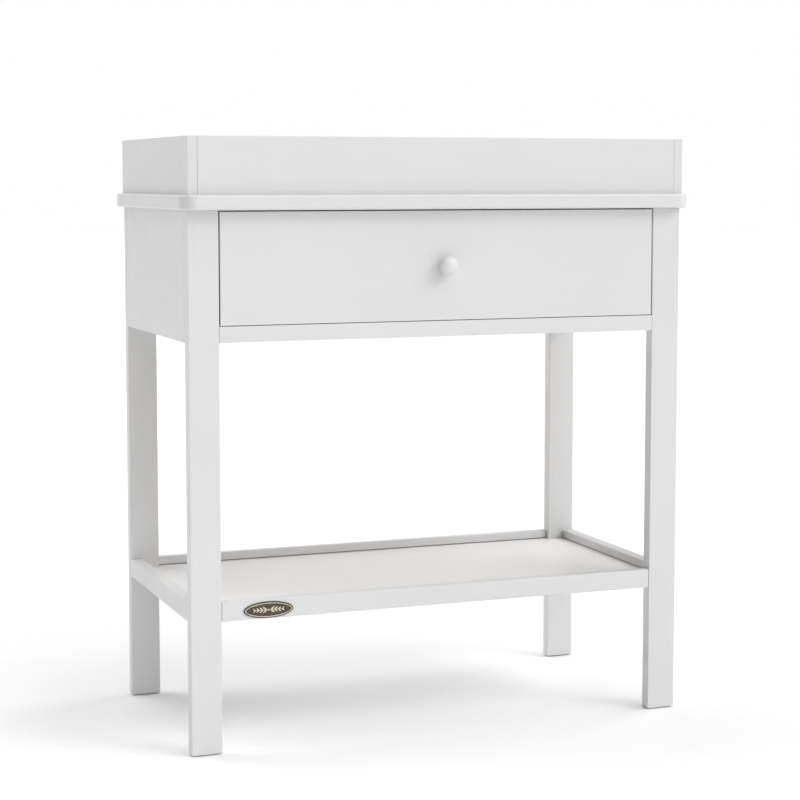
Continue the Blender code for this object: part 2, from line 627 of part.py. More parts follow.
def make_drawer_runner(side, sign, drawer):
    """The moving runner, with its roller behind the end of its track."""
    web_x = DRAWER_BOX_OUTER_X + TOUCH_GAP + SHEET
    runner = add_object(f"drawer_runner_{side}",
                        section_mesh(drawer_runner_outline(), DRAWER_RUNNER_LENGTH, -sign),
                        WHITE_STEEL, (sign * web_x, RUNNER_FRONT_Y, DRAWER_RUNNER_BOTTOM), drawer)
    axle_y = RUNNER_FRONT_Y + DRAWER_RUNNER_LENGTH - DRAWER_AXLE_SETBACK
    axle_z = RUNNER_FLOOR + CHANNEL_HEIGHT / 2
    track_end = axle_y - DRAWER_ROLLER_RADIUS - 0.001
    xs = sorted((sign * web_x, sign * (web_x + 2 * ROLLER_WIDTH)))
    subtract_box(runner, (xs[0], track_end, DRAWER_RUNNER_BOTTOM + 2 * SHEET),
                 (xs[1], axle_y + CHANNEL_HEIGHT, RUNNER_FLOOR + 2 * CHANNEL_HEIGHT))
    roller_x = web_x + DRAWER_ROLLER_OFFSET + ROLLER_WIDTH / 2
    make_roller(f"drawer_roller_{side}", DRAWER_ROLLER_RADIUS,
                (sign * roller_x, axle_y, axle_z), drawer)
    rivet_through(runner, f"drawer_roller_pin_{side}", SHEET + DRAWER_ROLLER_OFFSET + ROLLER_WIDTH,
                  False, (sign, 0, 0), (sign * (web_x - SHEET), axle_y, axle_z), drawer)


def main():
    clear_scene()
    root = group_empty("changing_table", (0, 0, 0))
    for side, sign in SIDES:
        for end, depth_sign in ENDS:
            make_leg(side, sign, end, depth_sign, root)
    make_apron(root)
    make_top(root)
    make_shelf(root)
    make_badge(root)
    drawer = group_empty("drawer", (0, FRONT_Y, (FRONT_RAIL_TOP + TOP_UNDERSIDE) / 2), root)
    front, height = make_drawer_front(drawer)
    make_knob(front, height, drawer)
    make_drawer_box(drawer)
    for side, sign in SIDES:
        make_cabinet_runner(side, sign, root)
        make_drawer_runner(side, sign, drawer)


main()
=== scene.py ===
import math

import bmesh
import bpy
from mathutils import Matrix, Vector


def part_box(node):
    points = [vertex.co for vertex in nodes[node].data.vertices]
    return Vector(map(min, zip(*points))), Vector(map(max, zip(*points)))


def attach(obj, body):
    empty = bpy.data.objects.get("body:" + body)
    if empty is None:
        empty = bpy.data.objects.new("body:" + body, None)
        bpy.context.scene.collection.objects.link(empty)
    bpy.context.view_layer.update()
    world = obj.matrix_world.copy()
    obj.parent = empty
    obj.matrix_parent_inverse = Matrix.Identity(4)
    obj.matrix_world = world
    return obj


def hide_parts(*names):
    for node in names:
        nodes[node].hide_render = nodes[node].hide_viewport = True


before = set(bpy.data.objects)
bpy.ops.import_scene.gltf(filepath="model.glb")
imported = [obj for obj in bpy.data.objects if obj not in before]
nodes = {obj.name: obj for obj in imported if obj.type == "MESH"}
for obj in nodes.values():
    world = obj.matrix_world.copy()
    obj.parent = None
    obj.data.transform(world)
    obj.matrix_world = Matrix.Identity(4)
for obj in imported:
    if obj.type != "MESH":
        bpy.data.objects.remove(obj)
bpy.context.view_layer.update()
sideSigns = {"left": -1, "right": 1}
near = 0.00001  # metres; places closer than this count as one
smallPartAngle = 30  # degrees; on small parts, edges sharper than this stay sharp
bpy.context.scene.view_settings.view_transform = "Standard"
print("frame loaded:", len(nodes), "nodes")


# tools for modelling

def clearSelection():
    if bpy.context.object and bpy.context.object.mode != "OBJECT":
        bpy.ops.object.mode_set(mode="OBJECT")
    bpy.ops.object.select_all(action="DESELECT")


def selectOnly(obj):
    clearSelection()
    obj.select_set(True)
    bpy.context.view_layer.objects.active = obj


def nameNew(name):
    obj = bpy.context.object
    obj.name = name
    obj.data.name = name
    bpy.ops.object.transform_apply(location=True, rotation=True, scale=True)
    return obj


def addBlock(name, low, high):
    clearSelection()
    bpy.ops.mesh.primitive_cube_add(size=1, location=(Vector(low) + Vector(high)) / 2,
                                    scale=Vector(high) - Vector(low))
    return nameNew(name)


def addDisc(name, centre, radius, depth, turn=(0, 0, 0), sides=32, scale=(1, 1, 1)):
    clearSelection()
    bpy.ops.mesh.primitive_cylinder_add(vertices=sides, radius=radius, depth=depth, location=centre,
                                        rotation=turn, scale=scale)
    return nameNew(name)


def openCage(obj, kind):  # goes to edit mode with nothing selected
    selectOnly(obj)
    bpy.ops.object.mode_set(mode="EDIT")
    bpy.ops.mesh.select_mode(type=kind)
    bpy.ops.mesh.select_all(action="DESELECT")
    return bmesh.from_edit_mesh(obj.data)


def pickEdges(obj, wanted):
    cage = openCage(obj, "EDGE")
    for edge in cage.edges:
        edge.select_set(wanted(edge.verts[0].co, edge.verts[1].co))
    bmesh.update_edit_mesh(obj.data)


def pickFaces(obj, wanted):
    cage = openCage(obj, "FACE")
    for face in cage.faces:
        face.select_set(wanted(face.calc_center_median(), face.normal))
    bmesh.update_edit_mesh(obj.data)


def roundPicked(width, segments):
    bpy.ops.mesh.bevel(offset=width, offset_type="OFFSET", segments=segments, profile=0.5, affect="EDGES")


def roundAll(obj, width, segments=4):
    pickEdges(obj, lambda a, b: True)
    roundPicked(width, segments)


def cutAway(obj, low, high):
    cutter = addBlock("cutter", low, high)
    selectOnly(obj)
    cut = obj.modifiers.new("cut", "BOOLEAN")
    cut.object = cutter
    cut.operation = "DIFFERENCE"
    bpy.ops.object.modifier_apply(modifier=cut.name)
    bpy.data.objects.remove(cutter)


def settle(obj, angle=40):  # smooth round edges, flat faces kept flat
    selectOnly(obj)
    bpy.ops.object.shade_smooth_by_angle(angle=math.radians(angle))
    even = obj.modifiers.new("evenShading", "WEIGHTED_NORMAL")
    even.keep_sharp = True
    bpy.ops.object.modifier_apply(modifier=even.name)


def belong(obj, material, body, slot, *stands):
    obj.data.materials.clear()
    for one in (material if isinstance(material, (list, tuple)) else [material]):
        obj.data.materials.append(one)
    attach(obj, body)
    if stands:
        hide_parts(*stands)


def copyOf(obj, name, move=(0, 0, 0), turn=None):
    selectOnly(obj)
    bpy.ops.object.duplicate(linked=False)
    twin = bpy.context.object
    twin.name = name
    twin.data.name = name
    if turn is not None:
        twin.data.transform(turn)
    twin.data.transform(Matrix.Translation(move))
    return twin


def paintName(name):
    return "paint" + name[0].upper() + name[1:]


def alongOf(side):  # the way the grain runs on a board of the topper or the shelf
    return "x" if side in ("front", "rear") else "y"


# tools for materials

def put(tree, kind, inputs=None, **settings):
    node = tree.nodes.new(kind)
    for key, value in settings.items():
        setattr(node, key, value)
    for socket, value in (inputs or {}).items():
        if isinstance(value, bpy.types.NodeSocket):
            tree.links.new(value, node.inputs[socket])
        else:
            node.inputs[socket].default_value = value
    return node


def startMaterial(name):
    material = bpy.data.materials.new(name)
    material.use_nodes = True
    tree = material.node_tree
    shader = tree.nodes["Principled BSDF"]
    place = put(tree, "ShaderNodeTexCoord").outputs["Object"]
    return material, tree, shader, place


def noise(tree, place, scale, detail=3.0, roughness=0.55, stretch=(1, 1, 1), shift=0.0, distortion=0.0):
    moved = put(tree, "ShaderNodeMapping", {"Vector": place, "Scale": stretch,
                                            "Location": (shift, shift * 0.7, -shift * 0.4)})
    return put(tree, "ShaderNodeTexNoise", {"Vector": moved.outputs[0], "Scale": scale, "Detail": detail,
                                            "Roughness": roughness, "Distortion": distortion}).outputs["Fac"]


def ranged(tree, value, low, high, fromLow=0.3, fromHigh=0.7):
    return put(tree, "ShaderNodeMapRange", {"Value": value, "From Min": fromLow, "From Max": fromHigh,
                                            "To Min": low, "To Max": high}).outputs["Result"]


def blendColours(tree, factor, first, second):
    mix = put(tree, "ShaderNodeMix", data_type="RGBA")
    for socket, value in ((0, factor), (6, first), (7, second)):
        if isinstance(value, bpy.types.NodeSocket):
            tree.links.new(value, mix.inputs[socket])
        elif isinstance(value, tuple):
            mix.inputs[socket].default_value = (*value, 1.0)
        else:
            mix.inputs[socket].default_value = value
    return mix.outputs[2]


def bumped(tree, heights):  # heights: (socket, distance in metres, strength), finest first
    normal = None
    for height, distance, strength in heights:
        inputs = {"Height": height, "Distance": distance, "Strength": strength}
        if normal is not None:
            inputs["Normal"] = normal
        normal = put(tree, "ShaderNodeBump", inputs).outputs["Normal"]
    return normal


def finishMaterial(tree, shader, colour, roughness, normal, metallic=0.0, coat=0.0, coatRoughness=0.1):
    tree.links.new(colour, shader.inputs["Base Color"])
    tree.links.new(roughness, shader.inputs["Roughness"])
    tree.links.new(normal, shader.inputs["Normal"])
    shader.inputs["Metallic"].default_value = metallic
    shader.inputs["Coat Weight"].default_value = coat
    shader.inputs["Coat Roughness"].default_value = coatRoughness


# paint and other finishes

paintLook = {
    "light": (0.680, 0.680, 0.681),
    "dark": (0.662, 0.662, 0.661),
    "fibre": (0.636, 0.636, 0.634),  # where the wood's grain shows through
    "roughness": (0.36, 0.47),
    "coat": 0.12,
    "coatRoughness": 0.22,
    "grainAcross": 190.0,
    "grainAlong": 5.0,
}


def satinPaint(name, along="x", seed=0.0, lift=1.0):  # lift brightens a board the lamps leave dark
    look = paintLook
    light, dark, fibre = (tuple(value * lift for value in look[tone]) for tone in ("light", "dark", "fibre"))
    material, tree, shader, place = startMaterial(name)
    stretch = [look["grainAcross"]] * 3
    stretch["xyz".index(along)] = look["grainAlong"]
    grain = noise(tree, place, 1.0, 5.0, 0.62, stretch, shift=seed, distortion=0.35)
    clouds = noise(tree, place, 3.2, 3.0, 0.5, shift=seed + 3.1)
    rollerMarks = noise(tree, place, 620.0, 2.0, 0.6, shift=seed)
    peel = noise(tree, place, 130.0, 2.0, 0.45, shift=seed + 1.7)
    nibs = put(tree, "ShaderNodeTexVoronoi", {"Vector": place, "Scale": 42.0, "Randomness": 1.0})
    nibHeight = ranged(tree, nibs.outputs["Distance"], 1.0, 0.0, 0.0, 0.035)
    base = blendColours(tree, ranged(tree, clouds, 0.0, 1.0), light, dark)
    colour = blendColours(tree, ranged(tree, grain, 0.0, 0.30, 0.52, 0.72), base, fibre)
    rough = ranged(tree, noise(tree, place, 26.0, 3.0, 0.6, shift=seed + 5.3), *look["roughness"])
    normal = bumped(tree, ((rollerMarks, 0.00004, 0.30), (peel, 0.00010, 0.28), (grain, 0.00008, 0.22),
                           (nibHeight, 0.00010, 0.25)))
    finishMaterial(tree, shader, colour, rough, normal, coat=look["coat"],
                   coatRoughness=look["coatRoughness"])
    return material


laminateLook = {
    "light": (0.735, 0.735, 0.731),
    "dark": (0.710, 0.710, 0.703),
    "pore": (0.670, 0.668, 0.659),
    "roughness": (0.42, 0.54),
    "poreAcross": 420.0,
    "poreAlong": 22.0,
}


def whiteLaminate(name, along, seed):  # printed foil on particle board, with a fine pressed pore
    look = laminateLook
    material, tree, shader, place = startMaterial(name)
    stretch = [look["poreAcross"]] * 3
    stretch["xyz".index(along)] = look["poreAlong"]
    pores = noise(tree, place, 1.0, 3.0, 0.55, stretch, shift=seed, distortion=0.2)
    clouds = noise(tree, place, 5.0, 2.0, 0.5, shift=seed + 2.0)
    base = blendColours(tree, ranged(tree, clouds, 0.0, 1.0), look["light"], look["dark"])
    colour = blendColours(tree, ranged(tree, pores, 0.0, 0.45, 0.55, 0.72), base, look["pore"])
    rough = ranged(tree, noise(tree, place, 40.0, 2.0, 0.5, shift=seed), *look["roughness"])
    normal = bumped(tree, ((noise(tree, place, 900.0, 2.0, 0.5), 0.00003, 0.3), (pores, 0.00006, 0.35)))
    finishMaterial(tree, shader, colour, rough, normal)
    return material


hardboardLook = {
    "fibre": (0.26, 0.155, 0.085),
    "pale": (0.40, 0.265, 0.155),
    "speck": (0.17, 0.10, 0.055),
    "white": (0.735, 0.735, 0.730),
    "whiteDark": (0.710, 0.710, 0.700),
    "fibreStretch": (240.0, 90.0, 240.0),
    "roughness": (0.78, 0.42),  # of the bare side, then of the white side
}


def hardboard(name):  # white film above, brown pressed fibre below
    look = hardboardLook
    material, tree, shader, place = startMaterial(name)
    fibres = noise(tree, place, 1.0, 6.0, 0.7, look["fibreStretch"], shift=2.0, distortion=0.8)
    specks = put(tree, "ShaderNodeTexVoronoi", {"Vector": place, "Scale": 420.0}).outputs["Distance"]
    brown = blendColours(tree, ranged(tree, fibres, 0.0, 1.0), look["fibre"], look["pale"])
    brown = blendColours(tree, ranged(tree, specks, 0.55, 0.0, 0.0, 0.30), brown, look["speck"])
    clouds = noise(tree, place, 6.0, 2.0, 0.5)
    white = blendColours(tree, ranged(tree, clouds, 0.0, 1.0), look["white"], look["whiteDark"])
    surface = put(tree, "ShaderNodeNewGeometry").outputs["Normal"]
    facing = put(tree, "ShaderNodeSeparateXYZ", {"Vector": surface})
    above = ranged(tree, facing.outputs["Z"], 0.0, 1.0, 0.45, 0.55)
    colour = blendColours(tree, above, brown, white)
    rough = ranged(tree, above, *look["roughness"], 0.0, 1.0)
    normal = bumped(tree, ((specks, 0.00005, 0.3), (fibres, 0.00010, 0.35)))
    finishMaterial(tree, shader, colour, rough, normal)
    return material


steelLook = {
    "light": (0.740, 0.740, 0.732),
    "dark": (0.695, 0.695, 0.681),
    "scuff": (0.52, 0.52, 0.52),
    "roughness": (0.30, 0.46),
    "scuffStretch": (900.0, 30.0, 900.0),
    "coat": 0.2,
    "coatRoughness": 0.15,
}


def coatedSteel(name):  # white powder coat, scuffed along the drawer's travel
    look = steelLook
    material, tree, shader, place = startMaterial(name)
    orangePeel = noise(tree, place, 700.0, 2.0, 0.5)
    clouds = noise(tree, place, 22.0, 3.0, 0.6)
    scuffs = noise(tree, place, 1.0, 4.0, 0.7, look["scuffStretch"], shift=0.4, distortion=0.2)
    base = blendColours(tree, ranged(tree, clouds, 0.0, 1.0), look["light"], look["dark"])
    colour = blendColours(tree, ranged(tree, scuffs, 0.0, 0.5, 0.60, 0.74), base, look["scuff"])
    rough = ranged(tree, scuffs, *look["roughness"])
    normal = bumped(tree, ((orangePeel, 0.00004, 0.35),))
    finishMaterial(tree, shader, colour, rough, normal, coat=look["coat"],
                   coatRoughness=look["coatRoughness"])
    return material


zincLook = {
    "light": (0.66, 0.67, 0.69),
    "dark": (0.50, 0.51, 0.53),
    "spangle": (0.74, 0.75, 0.77),
    "roughness": (0.24, 0.44),
}


def zincSteel(name):
    look = zincLook
    material, tree, shader, place = startMaterial(name)
    spangle = put(tree, "ShaderNodeTexVoronoi", {"Vector": place, "Scale": 900.0}).outputs["Distance"]
    clouds = noise(tree, place, 260.0, 4.0, 0.65)
    base = blendColours(tree, ranged(tree, clouds, 0.0, 1.0), look["light"], look["dark"])
    colour = blendColours(tree, ranged(tree, spangle, 0.0, 0.5, 0.0, 0.5), base, look["spangle"])
    rough = ranged(tree, clouds, *look["roughness"])
    finishMaterial(tree, shader, colour, rough, bumped(tree, ((clouds, 0.00004, 0.3),)), metallic=1.0)
    return material


def mouldedPlastic(name, light, dark, roughness):
    material, tree, shader, place = startMaterial(name)
    clouds = noise(tree, place, 120.0, 3.0, 0.55)
    grit = noise(tree, place, 2600.0, 2.0, 0.5)
    colour = blendColours(tree, ranged(tree, clouds, 0.0, 1.0), light, dark)
    rough = ranged(tree, noise(tree, place, 420.0, 2.0, 0.5), *roughness)
    finishMaterial(tree, shader, colour, rough, bumped(tree, ((grit, 0.00002, 0.4), (clouds, 0.00003, 0.2))))
    return material


def agedBrass(name, light, dark, roughness, metallic):
    material, tree, shader, place = startMaterial(name)
    tarnish = noise(tree, place, 190.0, 5.0, 0.68, distortion=0.5)
    grit = noise(tree, place, 1500.0, 3.0, 0.6)
    colour = blendColours(tree, ranged(tree, tarnish, 0.0, 1.0, 0.34, 0.66), light, dark)
    rough = ranged(tree, tarnish, *roughness)
    finishMaterial(tree, shader, colour, rough, bumped(tree, ((grit, 0.00003, 0.4), (tarnish, 0.00005, 0.4))),
                   metallic=metallic)
    return material


# legs and their glides

legShape = {
    "edge": 0.0011,
    "segments": 4,
    "glideSides": 40,
    "glideHeight": 0.0015,  # without its nail
    "glideEdge": 0.0005,
    "glideSegments": 3,
}


def makeLegs():
    look = legShape
    for side, sign in sideSigns.items():
        for seed, end in enumerate(("front", "rear")):
            node = f"leg_{end}_{side}"
            low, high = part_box(node)
            leg = addBlock("leg" + end.title() + side.title(), low, high)
            roundAll(leg, look["edge"], look["segments"])
            settle(leg)
            paint = satinPaint(paintName(leg.name), "z", 1.3 * seed + sign)
            belong(leg, paint, "table_frame", "wood_paint", node)

            glideNode = f"foot_glide_{end}_{side}"
            low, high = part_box(glideNode)
            top = low.z + look["glideHeight"]
            centre = ((low.x + high.x) / 2, (low.y + high.y) / 2, (low.z + top) / 2)
            glide = addDisc("glide" + end.title() + side.title(), centre, (high.x - low.x) / 2, top - low.z,
                            sides=look["glideSides"])
            pickEdges(glide, lambda a, b: max(a.z, b.z) < low.z + near)
            roundPicked(look["glideEdge"], look["glideSegments"])
            settle(glide, smallPartAngle)
            belong(glide, glidePlastic, "table_frame", "glide_plastic", glideNode)
    print("legs done")


# apron: side and back panels, and the rail under the drawer

apronShape = {
    "edge": 0.0007,
    "segments": 3,
    "railEdge": 0.0004,
    "gapLoss": 0.0005,  # the rail and the drawer front each close the gap between them by this
}


def makeBoard(node, name, along, seed, edge, segments, body="table_frame", cuts=(), grow=(0, 0)):
    low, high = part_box(node)
    down, up = grow
    board = addBlock(name, low - Vector((0, 0, down)), high + Vector((0, 0, up)))
    roundAll(board, edge, segments)
    for cutLow, cutHigh in cuts:
        cutAway(board, cutLow, cutHigh)
    settle(board)
    belong(board, satinPaint(paintName(name), along, seed), body, "wood_paint", node)


def makeApron():
    edge, segments = apronShape["edge"], apronShape["segments"]
    for side, sign in sideSigns.items():
        makeBoard(f"side_panel_{side}", "sidePanel" + side.title(), "y", 4.0 + sign, edge, segments)
    makeBoard("back_panel", "backPanel", "x", 7.7, edge, segments)
    makeBoard("front_rail", "frontRail", "x", 9.1, apronShape["railEdge"], segments,
              grow=(0, apronShape["gapLoss"]))
    print("apron done")


# table top and the raised boards on it

topShape = {
    "corner": 0.025,
    "cornerSegments": 14,
    "edge": 0.0042,
    "edgeSegments": 5,
    "topperEdge": 0.0014,
    "topperSegments": 4,
    "seamEdge": 0.0004,  # where the raised boards meet each other
    "seamSegments": 2,
}


def makeTop():
    low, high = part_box("table_top")
    top = addBlock("tableTop", low, high)
    pickEdges(top, lambda a, b: abs(a.z - b.z) > near)
    roundPicked(topShape["corner"], topShape["cornerSegments"])
    pickEdges(top, lambda a, b: abs(a.z - b.z) < near)
    roundPicked(topShape["edge"], topShape["edgeSegments"])
    settle(top)
    belong(top, satinPaint("paintTableTop", "x", 12.4), "table_frame", "wood_paint", "table_top")
    for seed, side in enumerate(("front", "rear", "left", "right")):
        makeTopperBoard(side, seed, high.z)
    print("top done")


def makeTopperBoard(side, seed, floor):  # stands on the table top, rounded on its free edges only
    name = "topper" + side.title()
    low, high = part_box(f"topper_{side}")
    low.z = floor
    board = addBlock(name, low, high)
    pickEdges(board, lambda a, b: min(a.z, b.z) > high.z - near)
    roundPicked(topShape["topperEdge"], topShape["topperSegments"])
    pickEdges(board, lambda a, b: abs(a.z - b.z) > (high.z - low.z) / 2)
    roundPicked(topShape["seamEdge"], topShape["seamSegments"])
    settle(board)
    paint = satinPaint(paintName(name), alongOf(side), 15.0 + 1.9 * seed)
    belong(board, paint, "table_frame", "wood_paint", f"topper_{side}")


# low shelf

shelfShape = {
    "railEdge": 0.0022,
    "railSegments": 4,
    "boardEdge": 0.0006,
    "boardSegments": 2,
    "grooveClear": 0.0014,
    "grooveBelow": 0.0003,
    "legClear": 0.0006,
    # painted light: the shelf board's paint is made brighter than the other boards' to stand in for light the
    # lamps don't give it
    "paintLift": 1.13,
}


def makeShelf():
    look = shelfShape
    low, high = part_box("shelf_board")
    clear = look["grooveClear"]
    groove = (low - Vector((clear, clear, look["grooveBelow"])), high + Vector((clear, clear, clear)))
    for seed, side in enumerate(("front", "rear", "left", "right")):
        makeBoard(f"shelf_rail_{side}", "shelfRail" + side.title(), alongOf(side), 23.0 + 2.3 * seed,
                  look["railEdge"], look["railSegments"], cuts=(groove,))
    board = addBlock("shelfBoard", low, high)
    roundAll(board, look["boardEdge"], look["boardSegments"])
    room = Vector((look["legClear"], look["legClear"], 0))
    for side in sideSigns:
        for end in ("front", "rear"):
            legLow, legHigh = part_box(f"leg_{end}_{side}")
            cutAway(board, legLow - room, legHigh + room)
    settle(board)
    # painted light: a brighter copy of the same paint, in place of light the shelf lacks
    paint = satinPaint("paintShelfBoard", "x", 31.0, look["paintLift"])
    belong(board, paint, "table_frame", "wood_paint", "shelf_board")
    print("shelf done")


# oval badge on the shelf's front rail, with a plain leaf sprig

badgeShape = {
    "sides": 112,
    "edge": 0.0005,
    "edgeSegments": 3,
    "border": 0.0013,  # dark border outside the bright line
    "line": 0.0012,
    "wall": 0.0002,
    "lineHeight": 0.0005,
    "fieldSink": 0.0008,
    "leafPairs": 4,
    "leafSegments": 10,
    "leafRings": 8,
    "leafLength": 0.0079,
    "leafWidth": 0.0039,
    "leafThickness": 0.0011,
    "leafTaper": 0.55,  # how much narrower the tip is than the root
    "leafLean": 38,  # degrees from the stem
    "firstLeaf": 0.0034,  # from the middle
    "leafStep": 0.0062,
    "leafShrink": 0.13,  # each pair is smaller by this
    "budLength": 0.42,  # as shares of a leaf
    "budWidth": 0.9,
    "stemRadius": 0.00042,
    "stemSides": 12,
    "sprigAngle": 35,
}


def frontFaceOf(badge):
    faces = [face for face in badge.data.polygons if face.normal.y < -0.95]
    middle = max(faces, key=lambda face: len(face.vertices)).center.copy()
    pickFaces(badge, lambda centre, normal: normal.y < -0.95 and (centre - middle).length < near)


def makeBadge():
    look = badgeShape
    low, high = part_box("badge_plate")
    flat = low.y + look["lineHeight"]
    middle = Vector(((low.x + high.x) / 2, (flat + high.y) / 2, (low.z + high.z) / 2))
    plate = addDisc("badgePlate", middle, 0.5, high.y - flat, (math.radians(90), 0, 0), look["sides"],
                    (high.x - low.x, high.z - low.z, 1))
    pickEdges(plate, lambda a, b: max(a.y, b.y) < flat + near)
    roundPicked(look["edge"], look["edgeSegments"])
    steps = ((look["border"], 0.0), (look["wall"], look["lineHeight"]), (look["line"], 0.0),
             (look["wall"], -look["fieldSink"]))
    for width, lift in steps:
        bpy.ops.object.mode_set(mode="OBJECT")
        frontFaceOf(plate)
        bpy.ops.mesh.inset(thickness=width, depth=lift)
    settle(plate, smallPartAngle)
    belong(plate, (badgeDark, badgeBright), "table_frame", "antique_brass", "badge_plate")
    for face in plate.data.polygons:
        if face.normal.y < -0.9 and face.center.y < low.y + near:
            face.material_index = 1  # the raised line
    makeSprig(Vector((middle.x, low.y + look["fieldSink"], middle.z)))
    print("badge done")


def leafScale(along, tall):
    return Matrix.Scale(along, 4, (1, 0, 0)) @ Matrix.Scale(tall, 4, (0, 0, 1))


def makeSprig(spot):  # a stem with pairs of leaves to both sides of the spot
    look = badgeShape
    toSpot, toOrigin = Matrix.Translation(spot), Matrix.Translation(-spot)
    leaf = makeLeaf(spot)
    leaves = []
    for pair in range(look["leafPairs"]):
        for way in (-1, 1):
            for up in (-1, 1):
                size = 1.0 - look["leafShrink"] * pair
                lean = Matrix.Rotation(math.radians(way * up * look["leafLean"]), 4, "Y")
                away = Matrix.Translation((way * (look["firstLeaf"] + look["leafStep"] * pair), 0, 0))
                turn = toSpot @ away @ lean @ leafScale(way * size, size) @ toOrigin
                leaves.append(copyOf(leaf, "leafCopy", turn=turn))
    stem = addDisc("stem", spot, look["stemRadius"], 2 * look["leafStep"] * look["leafPairs"],
                   (0, math.radians(90), 0), look["stemSides"])
    toMiddle = Matrix.Translation((-look["leafLength"] / 2, 0, 0))
    turn = toSpot @ leafScale(look["budLength"], look["budWidth"]) @ toMiddle @ toOrigin
    leaves.append(copyOf(leaf, "budCopy", turn=turn))
    bpy.data.objects.remove(leaf)
    selectOnly(stem)
    for leaf in leaves:
        leaf.select_set(True)
    bpy.ops.object.join()
    sprig = stem
    sprig.name = sprig.data.name = "badgeSprig"
    bpy.ops.object.mode_set(mode="EDIT")
    bpy.ops.mesh.select_all(action="SELECT")
    bpy.ops.mesh.normals_make_consistent(inside=False)
    bpy.ops.object.mode_set(mode="OBJECT")
    selectOnly(sprig)
    bpy.ops.object.shade_smooth_by_angle(angle=math.radians(look["sprigAngle"]))
    belong(sprig, badgeBright, "table_frame", "antique_brass")


def makeLeaf(spot):  # lies along +X from the spot and tapers to its tip
    look = badgeShape
    length = look["leafLength"]
    clearSelection()
    bpy.ops.mesh.primitive_uv_sphere_add(segments=look["leafSegments"], ring_count=look["leafRings"],
                                         radius=0.5, location=spot + Vector((length / 2, 0, 0)),
                                         rotation=(0, math.radians(90), 0),
                                         scale=(look["leafWidth"], look["leafThickness"], length))
    leaf = nameNew("leaf")
    cage = openCage(leaf, "VERT")
    for vert in cage.verts:
        along = (vert.co.x - spot.x) / length
        vert.co.z = spot.z + (vert.co.z - spot.z) * (1.0 - look["leafTaper"] * along)
    bmesh.update_edit_mesh(leaf.data)
    bpy.ops.object.mode_set(mode="OBJECT")
    return leaf


# drawer front and its knob

drawerShape = {"edge": 0.0006, "segments": 4}
knobShape = {
    "spinSteps": 72,
    # foot and neck: distance from the middle, distance from the drawer front
    "neck": ((0.0, 0.0), (0.0080, 0.0), (0.0087, 0.0004), (0.0089, 0.0011), (0.0086, 0.0018),
             (0.0077, 0.0027), (0.0070, 0.0038), (0.0067, 0.0050), (0.0069, 0.0062), (0.0076, 0.0073),
             (0.0087, 0.0080)),
    "headSteps": 16,
    "headHalfDepth": 0.0105,
    "headStart": -50,  # degrees round the head, from where it leaves the neck
    "headSweep": 140,
    "weld": 0.00002,
    "smoothAngle": 50,
}


def makeDrawerFront():
    makeBoard("drawer_front", "drawerFront", "x", 37.0, drawerShape["edge"], drawerShape["segments"],
              body="drawer", grow=(apronShape["gapLoss"], 0))


def makeKnob():
    look = knobShape
    low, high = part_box("drawer_knob")
    centre = (low + high) / 2
    back, reach = high.y, high.y - low.y
    radius = (high.x - low.x) / 2
    belly = reach - look["headHalfDepth"]
    outline = list(look["neck"])
    for step in range(look["headSteps"] + 1):
        angle = math.radians(look["headStart"] + step * look["headSweep"] / look["headSteps"])
        outline.append((radius * math.cos(angle), belly + look["headHalfDepth"] * math.sin(angle)))
    clearSelection()
    bpy.ops.mesh.primitive_plane_add(size=0.001, location=(centre.x, back, centre.z))
    knob = nameNew("drawerKnob")
    bpy.ops.object.mode_set(mode="EDIT")
    bpy.ops.mesh.select_mode(type="VERT")
    bpy.ops.mesh.select_all(action="SELECT")
    bpy.ops.mesh.merge(type="CENTER")  # one point, from which the outline is drawn
    for (r0, d0), (r1, d1) in zip(outline, outline[1:]):
        bpy.ops.mesh.extrude_vertices_move(TRANSFORM_OT_translate={"value": (r1 - r0, -(d1 - d0), 0)})
    bpy.ops.mesh.select_all(action="SELECT")
    bpy.ops.mesh.spin(steps=look["spinSteps"], angle=math.radians(360), center=(centre.x, back, centre.z),
                      axis=(0, 1, 0))
    bpy.ops.mesh.select_all(action="SELECT")
    bpy.ops.mesh.remove_doubles(threshold=look["weld"])
    bpy.ops.mesh.normals_make_consistent(inside=False)
    bpy.ops.object.mode_set(mode="OBJECT")
    selectOnly(knob)
    bpy.ops.object.shade_smooth_by_angle(angle=math.radians(look["smoothAngle"]))
    belong(knob, satinPaint("paintKnob", "y", 41.0), "drawer", "wood_paint", "drawer_knob")
    print("drawer front and knob done")


# low pan-head screws that hold the runners, with a cross recess

screwShape = {
    "radius": 0.0034,
    "sides": 20,
    "height": 0.0008,
    "sink": 0.0001,
    "edge": 0.00035,
    "edgeSegments": 3,
    "slotWidth": 0.0009,
    "slotLength": 0.0040,
    "slotDepth": 0.0005,
    "alongRunner": (0.13, 0.47, 0.85),
    "cabinetWeb": 0.0012,  # from the cabinet runner's outer face to its inner one
    "drawerWeb": 0.0130,  # from the drawer runner's inner edge to its outer face
    "drawerScrewRise": 0.0088,  # above the drawer runner's lower edge
}


